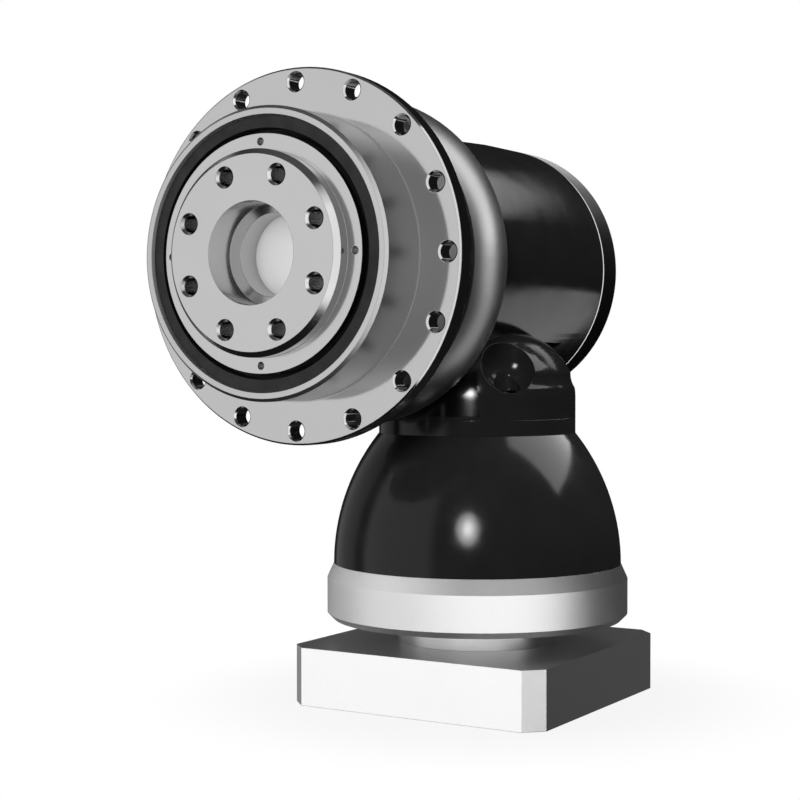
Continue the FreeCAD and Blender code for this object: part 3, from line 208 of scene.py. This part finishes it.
LATHE_LINES = 5200.0
LATHE_DEPTH = 0.00004
MARKS = 38.0
BLAST_GRAIN = 2600.0
BLAST_DEPTH = 0.00012
BLAST_CLOUD = 60.0
PEEL = 420.0
PEEL_DEPTH = 0.0002
DUST = 90.0
COAT_GRAIN = 1800.0
COAT_DEPTH = 0.00008
COAT_CLOUD = 70.0
MOULD_DEPTH = 0.00006
MOULD_CLOUD = 160.0
PAINT_GLOSS = 0.18
RUBBER_GLOSS = 0.45
ROUGH_STEP = 0.0004


def lathe_lines(graph, place, about_output):
    """Fine turning marks: rings on end faces and rings round the sides."""
    if about_output:
        centred = graph.vector("SUBTRACT", place, OUTPUT_AXIS)
        along = graph.add("ShaderNodeSeparateXYZ", {0: centred}).outputs["Y"]
        flat = graph.vector("MULTIPLY", centred, (1.0, 0.0, 1.0))
    else:
        centred = place
        along = graph.add("ShaderNodeSeparateXYZ", {0: centred}).outputs["Z"]
        flat = graph.vector("MULTIPLY", centred, (1.0, 1.0, 0.0))
    return graph.line_noise(graph.math("ADD", graph.length(flat), along), LATHE_LINES)


def turned_steel(name, dark, light, rough, spread, strength, about_output=True, inner=None, metallic=1.0):
    """Turned steel, its colour and gloss broken up by the tool's rings and by faint handling marks.

    inner is a radius about the output, and the roughness added inside it.
    """
    material, graph, place = new_material(name)
    lines = lathe_lines(graph, place, about_output)
    cloud = graph.noise(place, MARKS, 4.0)
    both = graph.mix(lines, cloud, 0.6)
    gloss = graph.ramp(both, 0.25, 0.75, rough - spread, rough + spread)
    if inner:
        radius, more = inner
        flat = graph.vector("MULTIPLY", graph.vector("SUBTRACT", place, OUTPUT_AXIS), (1.0, 0.0, 1.0))
        added = graph.ramp(graph.length(flat), radius, radius + ROUGH_STEP, more, 0.0)
        gloss = graph.math("ADD", gloss, added)
    close(graph, {
        "Base Color": graph.blend(both, grey(dark), grey(light)),
        "Metallic": metallic,
        "Roughness": gloss,
    }, lines, strength, LATHE_DEPTH)
    return material


def blasted_metal(name, dark, light, rough):
    """Bead blasted aluminium with a sandy grain."""
    material, graph, place = new_material(name)
    sand = graph.noise(place, BLAST_GRAIN, 2.0, 0.7)
    cloud = graph.noise(place, BLAST_CLOUD, 4.0)
    both = graph.mix(sand, cloud, 0.75)
    close(graph, {
        "Base Color": graph.blend(both, grey(dark), grey(light)),
        "Metallic": 1.0,
        "Roughness": graph.ramp(both, 0.3, 0.7, rough - 0.04, rough + 0.06),
    }, sand, 0.35, BLAST_DEPTH)
    return material


def gloss_paint(name, dark, light, rough):
    """Gloss enamel with a faint orange peel and a breath of dust."""
    material, graph, place = new_material(name)
    peel = graph.noise(place, PEEL, 2.0)
    dust = graph.noise(place, DUST, 5.0)
    close(graph, {
        "Base Color": graph.blend(dust, grey(dark), grey(light)),
        "Roughness": graph.ramp(dust, 0.3, 0.7, rough - 0.02, rough + 0.03),
        "Specular IOR Level": PAINT_GLOSS,
    }, peel, 0.02, PEEL_DEPTH)
    return material


def satin_paint(name, dark, light, rough, metallic):
    """Powder coat, a little rough and slightly metallic."""
    material, graph, place = new_material(name)
    grain = graph.noise(place, COAT_GRAIN, 2.0, 0.6)
    cloud = graph.noise(place, COAT_CLOUD, 4.0)
    both = graph.mix(grain, cloud, 0.6)
    close(graph, {
        "Base Color": graph.blend(both, grey(dark), grey(light)),
        "Metallic": metallic,
        "Roughness": graph.ramp(both, 0.3, 0.7, rough - 0.04, rough + 0.05),
    }, grain, 0.2, COAT_DEPTH)
    return material


def rubber(name, dark, light):
    """Moulded seal rubber with fine rings left by its mould."""
    material, graph, place = new_material(name)
    lines = lathe_lines(graph, place, about_output=True)
    cloud = graph.noise(place, MOULD_CLOUD, 4.0)
    close(graph, {
        "Base Color": graph.blend(cloud, grey(dark), grey(light)),
        "Roughness": graph.ramp(cloud, 0.3, 0.7, 0.48, 0.62),
        "Specular IOR Level": RUBBER_GLOSS,
    }, lines, 0.1, MOULD_DEPTH)
    return material


# Radius of the mounting flange's pilot, and how much rougher its end is than the flange
PILOT = (0.0453, 0.26)
# Darkest and lightest grey, then the roughness. Turned steel has the roughness's spread and the bump's
# strength after it, and satin paint how metallic it is.
MATERIALS = {
    "polished_steel": turned_steel("polished_steel", 0.46, 0.54, 0.08, 0.02, 0.02, inner=PILOT),
    "output_steel": turned_steel("output_steel", 0.48, 0.56, 0.16, 0.03, 0.05),
    "satin_grey": satin_paint("satin_grey", 0.36, 0.46, 0.36, 1.0),
    "gloss_black": gloss_paint("gloss_black", 0.011, 0.016, 0.13),
    "dark_cover": satin_paint("dark_cover", 0.06, 0.085, 0.42, 0.5),
    "bright_shim": turned_steel("bright_shim", 0.72, 0.85, 0.25, 0.03, 0.1),
    "seal_rubber": rubber("seal_rubber", 0.02, 0.032),
    "blasted_silver": blasted_metal("blasted_silver", 0.66, 0.86, 0.46),
    "collar_grey": turned_steel("collar_grey", 0.5, 0.62, 0.32, 0.04, 0.3, about_output=False),
    "plate_silver": blasted_metal("plate_silver", 0.7, 0.84, 0.36),
    "gear_steel": turned_steel("gear_steel", 0.42, 0.52, 0.3, 0.04, 0.2),
    "bearing_steel": turned_steel("bearing_steel", 0.55, 0.66, 0.16, 0.03, 0.1),
    "screw_black": satin_paint("screw_black", 0.025, 0.045, 0.34, 0.7),
}

for subpart in frame["record"]["subparts"]:
    surface = nodes[subpart["node"]].data.materials
    surface.clear()
    surface.append(MATERIALS[subpart["material_slot"]])

# The bore cap is ground matt
nodes["bore_cap"].data.materials[0] = turned_steel("cap_steel", 0.66, 0.74, 0.7, 0.03, 0.03, metallic=0.0)

# Neck and barrel of the casting

NECK_RADIUS = 0.0337
NECK_FLAT = 0.0304
NECK_FOOT = 0.0970
NECK_TOP = 0.1246
NECK_ROUNDING = 0.022
BARREL_RADIUS = 0.0464
TAPER_START = 0.03
TAPER = 0.0024
RIM_DEPTH = 0.0012
ON_SURFACE = 0.00004
WELD = 0.000001
CUT_WIDTH = 0.0000001
SLIDE_REACH = 0.012
SLIDE_STEPS = 30
SHARP_ANGLE = math.radians(28.0)


def neck_radius(height):
    """Radius of the neck at a height, straight below and rounded over above."""
    rise = min(NECK_ROUNDING, max(0.0, height - NECK_TOP + NECK_ROUNDING))
    return NECK_RADIUS - NECK_ROUNDING + math.sqrt(NECK_ROUNDING ** 2 - rise ** 2)


def barrel_radius(y):
    """Radius of the barrel, which is drawn in towards the gear body."""
    return BARREL_RADIUS - TAPER * max(0.0, TAPER_START - y) / (TAPER_START + NECK_FLAT)


def slide_up_neck(corner):
    """Place on the drawn-in barrel for a corner of its seam with the neck, straight up the neck."""
    turn = math.atan2(corner.x, -corner.y)
    low = corner.z
    high = min(corner.z + SLIDE_REACH, NECK_TOP)
    for _ in range(SLIDE_STEPS):
        middle = (low + high) / 2
        reach = neck_radius(middle)
        point = Vector((reach * math.sin(turn), -reach * math.cos(turn), middle))
        if math.hypot(point.x - OUTPUT_AXIS.x, point.z - OUTPUT_AXIS.z) > barrel_radius(point.y):
            low = middle
        else:
            high = middle
    return point


def black_piece(name, shape):
    """Named piece of the black casting from a bmesh, smooth but for its sharp edges."""
    mesh = bpy.data.meshes.new(name)
    shape.to_mesh(mesh)
    shape.free()
    if "custom_normal" in mesh.attributes:
        mesh.attributes.remove(mesh.attributes["custom_normal"])
    mesh.shade_smooth()
    mesh.set_sharp_from_angle(angle=SHARP_ANGLE)
    mesh.materials.clear()
    mesh.materials.append(MATERIALS["gloss_black"])
    piece = bpy.data.objects.new(name, mesh)
    scene.collection.objects.link(piece)
    weighted = piece.modifiers.new("weighted", "WEIGHTED_NORMAL")
    weighted.keep_sharp = True
    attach(piece, "housing")
    shown[name] = piece
    return piece


def tapered_casting():
    """The housing's casting with its barrel drawn in, which stands for the straight one."""
    shape = bmesh.new()
    shape.from_mesh(nodes["angle_housing"].data)
    bmesh.ops.remove_doubles(shape, verts=shape.verts, dist=WELD)
    everything = list(shape.verts) + list(shape.edges) + list(shape.faces)
    bmesh.ops.bisect_plane(
        shape, geom=everything, dist=CUT_WIDTH, plane_co=(0.0, TAPER_START, 0.0), plane_no=(0.0, 1.0, 0.0),
    )
    for corner in shape.verts:
        place = corner.co
        across = place.x - OUTPUT_AXIS.x
        rise = place.z - OUTPUT_AXIS.z
        reach = math.hypot(across, rise)
        on_barrel = BARREL_RADIUS - RIM_DEPTH < reach < BARREL_RADIUS + ON_SURFACE
        if place.y >= TAPER_START or not on_barrel:
            continue
        on_neck = abs(math.hypot(place.x, place.y) - neck_radius(place.z)) < ON_SURFACE
        if on_neck and rise < 0.0 and place.y > ON_SURFACE - NECK_FLAT:
            corner.co = slide_up_neck(place)
        else:
            scale = 1.0 - (BARREL_RADIUS - barrel_radius(place.y)) / reach
            corner.co.x = OUTPUT_AXIS.x + across * scale
            corner.co.z = OUTPUT_AXIS.z + rise * scale
    piece = black_piece("angle_casting", shape)
    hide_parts("angle_housing")


tapered_casting()

# Round front of the neck under the gear body, where the housing is cut flat

BODY_CLEARANCE = 0.0524
NECK_LEFT = math.radians(-12.5)
NECK_RIGHT = math.radians(31.5)
NECK_LAP = math.radians(25.6)
NECK_PROUD = 0.00003
NECK_SUNK = -0.00002
NECK_SKIN = 0.0003
NECK_COLUMNS = 48
NECK_ROWS = 14


def neck_front():
    """Closed solid between the neck's flat and its round outline, lapped onto the neck at its right side."""
    shape = bmesh.new()
    sheets = ([], [])
    for column in range(NECK_COLUMNS + 1):
        turn = NECK_LEFT + (NECK_RIGHT - NECK_LEFT) * column / NECK_COLUMNS
        across = NECK_RADIUS * math.sin(turn)
        top = OUTPUT_AXIS.z - math.sqrt(BODY_CLEARANCE ** 2 - (across - OUTPUT_AXIS.x) ** 2)
        proud = NECK_PROUD + (NECK_SUNK - NECK_PROUD) * smooth_step(turn, NECK_LAP, NECK_RIGHT)
        for sheet in sheets:
            sheet.append([])
        for row in range(NECK_ROWS + 1):
            height = NECK_FOOT + (top - NECK_FOOT) * row / NECK_ROWS
            outer = neck_radius(height) + proud
            inner = min(NECK_FLAT / math.cos(turn), outer - NECK_SKIN)
            for sheet, reach in zip(sheets, (outer, inner)):
                corner = (reach * math.sin(turn), -reach * math.cos(turn), height)
                sheet[-1].append(shape.verts.new(corner))
    front, back = sheets
    for column in range(NECK_COLUMNS):
        for row in range(NECK_ROWS):
            corners = ((column, row), (column + 1, row), (column + 1, row + 1), (column, row + 1))
            shape.faces.new([front[i][j] for i, j in corners])
            shape.faces.new([back[i][j] for i, j in reversed(corners)])
        after = column + 1
        for row in (0, NECK_ROWS):
            shape.faces.new((front[column][row], back[column][row], back[after][row], front[after][row]))
    for outside, inside in ((front[0], back[0]), (front[-1], back[-1])):
        for row in range(NECK_ROWS):
            shape.faces.new((outside[row], outside[row + 1], inside[row + 1], inside[row]))
    bmesh.ops.recalc_face_normals(shape, faces=shape.faces)
    black_piece("neck_front", shape)


neck_front()

# Studio: white to the camera, dark round the part, with two pale walls that the metal shows

AMBIENT = 0.012
OVERHEAD = 0.1
OVERHEAD_START = math.radians(25.0)
OVERHEAD_FULL = math.radians(80.0)
WALL_EDGE = math.radians(10.0)
# Each wall is (left, right, bottom, top) in degrees, turned from the output's direction, and a strength
WALLS = (
    (-72.0, -8.0, -30.0, 50.0, 1.0),
    (-125.0, -85.0, -20.0, 40.0, 0.3),
)


def wall_level(graph, turn, rise, wall):
    """Strength of a soft edged wall in a direction."""
    left, right, bottom, top = (math.radians(edge) for edge in wall[:4])
    half = WALL_EDGE / 2
    shares = (
        graph.ramp(turn, left - half, left + half),
        graph.ramp(turn, right + half, right - half),
        graph.ramp(rise, bottom - half, bottom + half),
        graph.ramp(rise, top + half, top - half),
    )
    value = wall[4]
    for share in shares:
        value = graph.math("MULTIPLY", share, value)
    return value


def make_world():
    """World with the walls, white where the camera sees it."""
    world = bpy.data.worlds.new("studio")
    world.use_nodes = True
    scene.world = world
    graph = Graph(world.node_tree)
    outward = graph.add("ShaderNodeTexCoord").outputs["Generated"]
    split = graph.add("ShaderNodeSeparateXYZ", {0: outward})
    forward = graph.math("MULTIPLY", split.outputs["Y"], -1.0)
    turn = graph.math("ARCTAN2", split.outputs["X"], forward)
    rise = graph.math("ARCSINE", split.outputs["Z"])
    level = graph.ramp(rise, OVERHEAD_START, OVERHEAD_FULL, AMBIENT, AMBIENT + OVERHEAD)
    for wall in WALLS:
        level = graph.math("ADD", wall_level(graph, turn, rise, wall), level)
    studio = graph.add("ShaderNodeBackground", {"Color": grey(1.0), "Strength": level})
    white = graph.add("ShaderNodeBackground", {"Color": grey(1.0), "Strength": 1.0})
    seen = graph.add("ShaderNodeLightPath").outputs["Is Camera Ray"]
    mixed = graph.add("ShaderNodeMixShader", {0: seen, 1: studio.outputs[0], 2: white.outputs[0]})
    graph.add("ShaderNodeOutputWorld", {"Surface": mixed.outputs[0]})


# Lamps. Each is turned from the output's direction, raised and rolled, in degrees, and sized in metres.
# A lamp lights only the pieces that it names, the way a studio flags its soft boxes.

LAMP_AIM = Vector((0.0, 0.0, 0.11))
SPOT_AIM = Vector((0.0152, -0.0302, 0.104))
REAR_AIM = (-0.023, 0.055, 0.1478)
BORE_AIM = (-0.023, -0.079, 0.1478)
BARREL_AIM = (0.008, 0.005, 0.17)
BLACK_PIECES = ("angle_casting", "bell_housing", "neck_ring")
STEEL_PIECES = ("output_housing", "output_flange")
SOFT_BOXES = (
    {"name": "side_box", "turn": 138.15, "rise": 49.44, "roll": -3.93, "away": 1.5, "size": (1.513, 1.167),
     "glow": 6.0, "lights": ("bell_housing", "neck_ring")},
    {"name": "shoulder_box", "turn": 116.0, "rise": 50.0, "away": 1.5, "size": (1.24, 0.86), "glow": 4.5,
     "lights": ("angle_casting", "neck_front")},
    {"name": "back_box", "turn": 164.18, "rise": 33.1, "roll": 26.39, "away": 2.0, "size": (0.984, 0.445),
     "glow": 1.95, "aim": BARREL_AIM, "lights": ("angle_casting",)},
    {"name": "body_high", "turn": 126.0, "rise": 45.0, "away": 0.8, "size": (0.45, 1.0), "glow": 1.9,
     "lights": ("gear_body",)},
    {"name": "body_middle", "turn": 120.0, "rise": 4.0, "away": 0.8, "size": (0.4, 0.45), "glow": 1.1,
     "lights": ("gear_body",)},
    {"name": "body_low", "turn": 129.0, "rise": -36.0, "away": 0.8, "size": (0.4, 0.8), "glow": 0.65,
     "lights": ("gear_body",)},
    {"name": "steel_side", "turn": 60.0, "rise": 2.0, "away": 0.8, "size": (0.45, 2.6), "glow": 1.3,
     "lights": STEEL_PIECES},
    {"name": "steel_front", "turn": 14.0, "rise": 0.0, "away": 0.9, "size": (1.3, 1.8), "glow": 0.5,
     "lights": STEEL_PIECES},
    {"name": "bore_box", "turn": 7.0, "rise": 1.0, "away": 0.8, "size": (0.7, 0.7), "glow": 3.7,
     "aim": BORE_AIM, "lights": ("bore_cap",)},
    {"name": "cover_box", "turn": 150.0, "rise": 45.0, "away": 1.2, "size": (1.0, 0.8), "glow": 1.2,
     "aim": REAR_AIM, "lights": ("rear_cover",)},
    {"name": "rear_fill", "turn": 215.0, "rise": 25.0, "away": 1.2, "size": (1.2, 1.0), "glow": 2.2,
     "aim": REAR_AIM, "lights": ("rear_cover",)},
    {"name": "seam_box", "turn": 158.0, "rise": 5.0, "away": 0.8, "size": (0.8, 1.4), "glow": 1.0,
     "aim": REAR_AIM, "lights": ("rear_shim",)},
    {"name": "ring_fill", "turn": 45.0, "rise": -2.0, "away": 1.0, "size": (2.7, 1.0), "glow": 1.65,
     "lights": ("input_ring", "motor_collar")},
    {"name": "left_fill", "turn": -80.0, "rise": 8.0, "away": 1.0, "size": (0.9, 0.9), "glow": 0.3,
     "lights": ("input_ring", "motor_collar")},
    {"name": "plate_side", "turn": 31.0, "rise": -2.0, "away": 1.0, "size": (1.62, 1.0), "glow": 1.4,
     "lights": ("motor_plate",)},
    {"name": "plate_front", "turn": -31.0, "rise": -8.0, "away": 0.8, "size": (0.8, 0.8), "glow": 0.35,
     "lights": ("motor_plate",)},
    {"name": "plate_fill", "turn": 180.0, "rise": 0.0, "away": 1.0, "size": (2.2, 0.9), "glow": 0.07,
     "lights": ("motor_plate",)},
)

# Round highlights, each of discs inside each other so that its edge is soft: width and glow of each disc
DISC_GAP = 0.001
KEY = {"name": "key", "turn": 21.0, "rise": 17.0, "away": 1.3, "aim": LAMP_AIM, "lights": BLACK_PIECES,
       "discs": ((0.11, 28.0), (0.22, 24.0), (0.4, 20.0))}
NECK_SPOT = {"name": "neck_spot", "turn": 21.0, "rise": 9.0, "away": 0.4, "aim": SPOT_AIM,
             "lights": ("neck_front",), "discs": ((0.06, 36.0), (0.1, 28.0), (0.14, 16.0))}

# White card on the floor behind, seen only in the barrel
CARD_PLACE = Vector((0.3225, 0.6318, 0.004))
CARD_TURN = math.radians(-27.1)
CARD_SIZE = (0.125, 0.96)
CARD_GLOW = 1.7


def area_lamp(name, place, turned, size, glow, lights, disc=False):
    """Lamp of even brightness, hidden from the camera, that lights only the named pieces."""
    width, height = size
    data = bpy.data.lights.new(name, "AREA")
    data.shape = "ELLIPSE" if disc else "RECTANGLE"
    data.size = width
    data.size_y = height
    area = width * height * (math.pi / 4 if disc else 1.0)
    data.energy = glow * math.pi * area
    lamp = bpy.data.objects.new(name, data)
    lamp.location = place
    lamp.rotation_euler = turned.to_euler()
    lamp.visible_camera = False
    scene.collection.objects.link(lamp)
    group = bpy.data.collections.new(name + "_receivers")
    for piece in lights:
        group.objects.link(shown[piece])
    lamp.light_linking.receiver_collection = group
    return lamp


def round_lamps(light):
    """Discs of a round highlight, the smallest in front."""
    away = direction(light["turn"], light["rise"])
    facing = away.to_track_quat("Z", "Y")
    lamps = []
    for number, (width, glow) in enumerate(light["discs"]):
        place = light["aim"] + away * (light["away"] + DISC_GAP * number)
        name = f"{light['name']}_{number}"
        lamps.append(area_lamp(name, place, facing, (width, width), glow, light["lights"], disc=True))
    return lamps


def make_lamps():
    """All the lamps. The neck's spot makes only a highlight."""
    round_lamps(KEY)
    for lamp in round_lamps(NECK_SPOT):
        lamp.visible_diffuse = False
    for box in SOFT_BOXES:
        away = direction(box["turn"], box["rise"])
        rolled = Quaternion((0.0, 0.0, 1.0), math.radians(box.get("roll", 0.0)))
        facing = away.to_track_quat("Z", "Y") @ rolled
        place = Vector(box.get("aim", LAMP_AIM)) + away * box["away"]
        area_lamp(box["name"], place, facing, box["size"], box["glow"], box["lights"])
    flat = Quaternion((1.0, 0.0, 0.0), math.pi)
    facing = Quaternion((0.0, 0.0, 1.0), CARD_TURN) @ flat
    area_lamp("card", CARD_PLACE, facing, CARD_SIZE, CARD_GLOW, ("angle_casting",))


FLOOR_HALF = 6.0
FLOOR_GAP = 0.0002
FLOOR_DARK = 0.03
FLOOR_PALE = 0.7
# Near the foot the floor's white share drops by SHADOW_SHARE. This is painted shade, and the matt share left there
# also shows the part's real shadow from the world's light.
SHADOW_SHARE = 0.1
SHADOW_START = 0.05
SHADOW_END = 0.12


def make_floor():
    """White floor, darkened round the part's foot by painted shade, in which its matt share also keeps the part's
    real shadow.
    """
    mesh = bpy.data.meshes.new("floor")
    shape = bmesh.new()
    bmesh.ops.create_grid(shape, x_segments=1, y_segments=1, size=FLOOR_HALF)
    shape.to_mesh(mesh)
    shape.free()
    floor = bpy.data.objects.new("floor", mesh)
    floor.location = (0.0, 0.0, cad_box[0][2] - FLOOR_GAP)
    scene.collection.objects.link(floor)
    material, graph, place = new_material("floor_paper")
    seen = graph.add("ShaderNodeLightPath").outputs["Is Camera Ray"]
    colour = graph.blend(seen, grey(FLOOR_DARK), grey(FLOOR_PALE))
    matt = graph.add("ShaderNodeBsdfDiffuse", {"Color": colour})
    white = graph.add("ShaderNodeEmission", {"Color": grey(1.0), "Strength": 1.0})
    # Painted shade: the white share falls off towards the foot by distance alone, and the matt share takes its
    # place
    painted_shade_paleness = graph.ramp(graph.length(place), SHADOW_START, SHADOW_END, 1.0 - SHADOW_SHARE, 1.0)
    share = graph.math("MULTIPLY", seen, painted_shade_paleness)
    mixed = graph.add("ShaderNodeMixShader", {0: share, 1: matt.outputs[0], 2: white.outputs[0]})
    graph.add("ShaderNodeOutputMaterial", {"Surface": mixed.outputs[0]})
    mesh.materials.append(material)
    floor.visible_glossy = False
    floor.visible_diffuse = False
    floor.visible_shadow = False


make_camera()
make_world()
make_lamps()
make_floor()
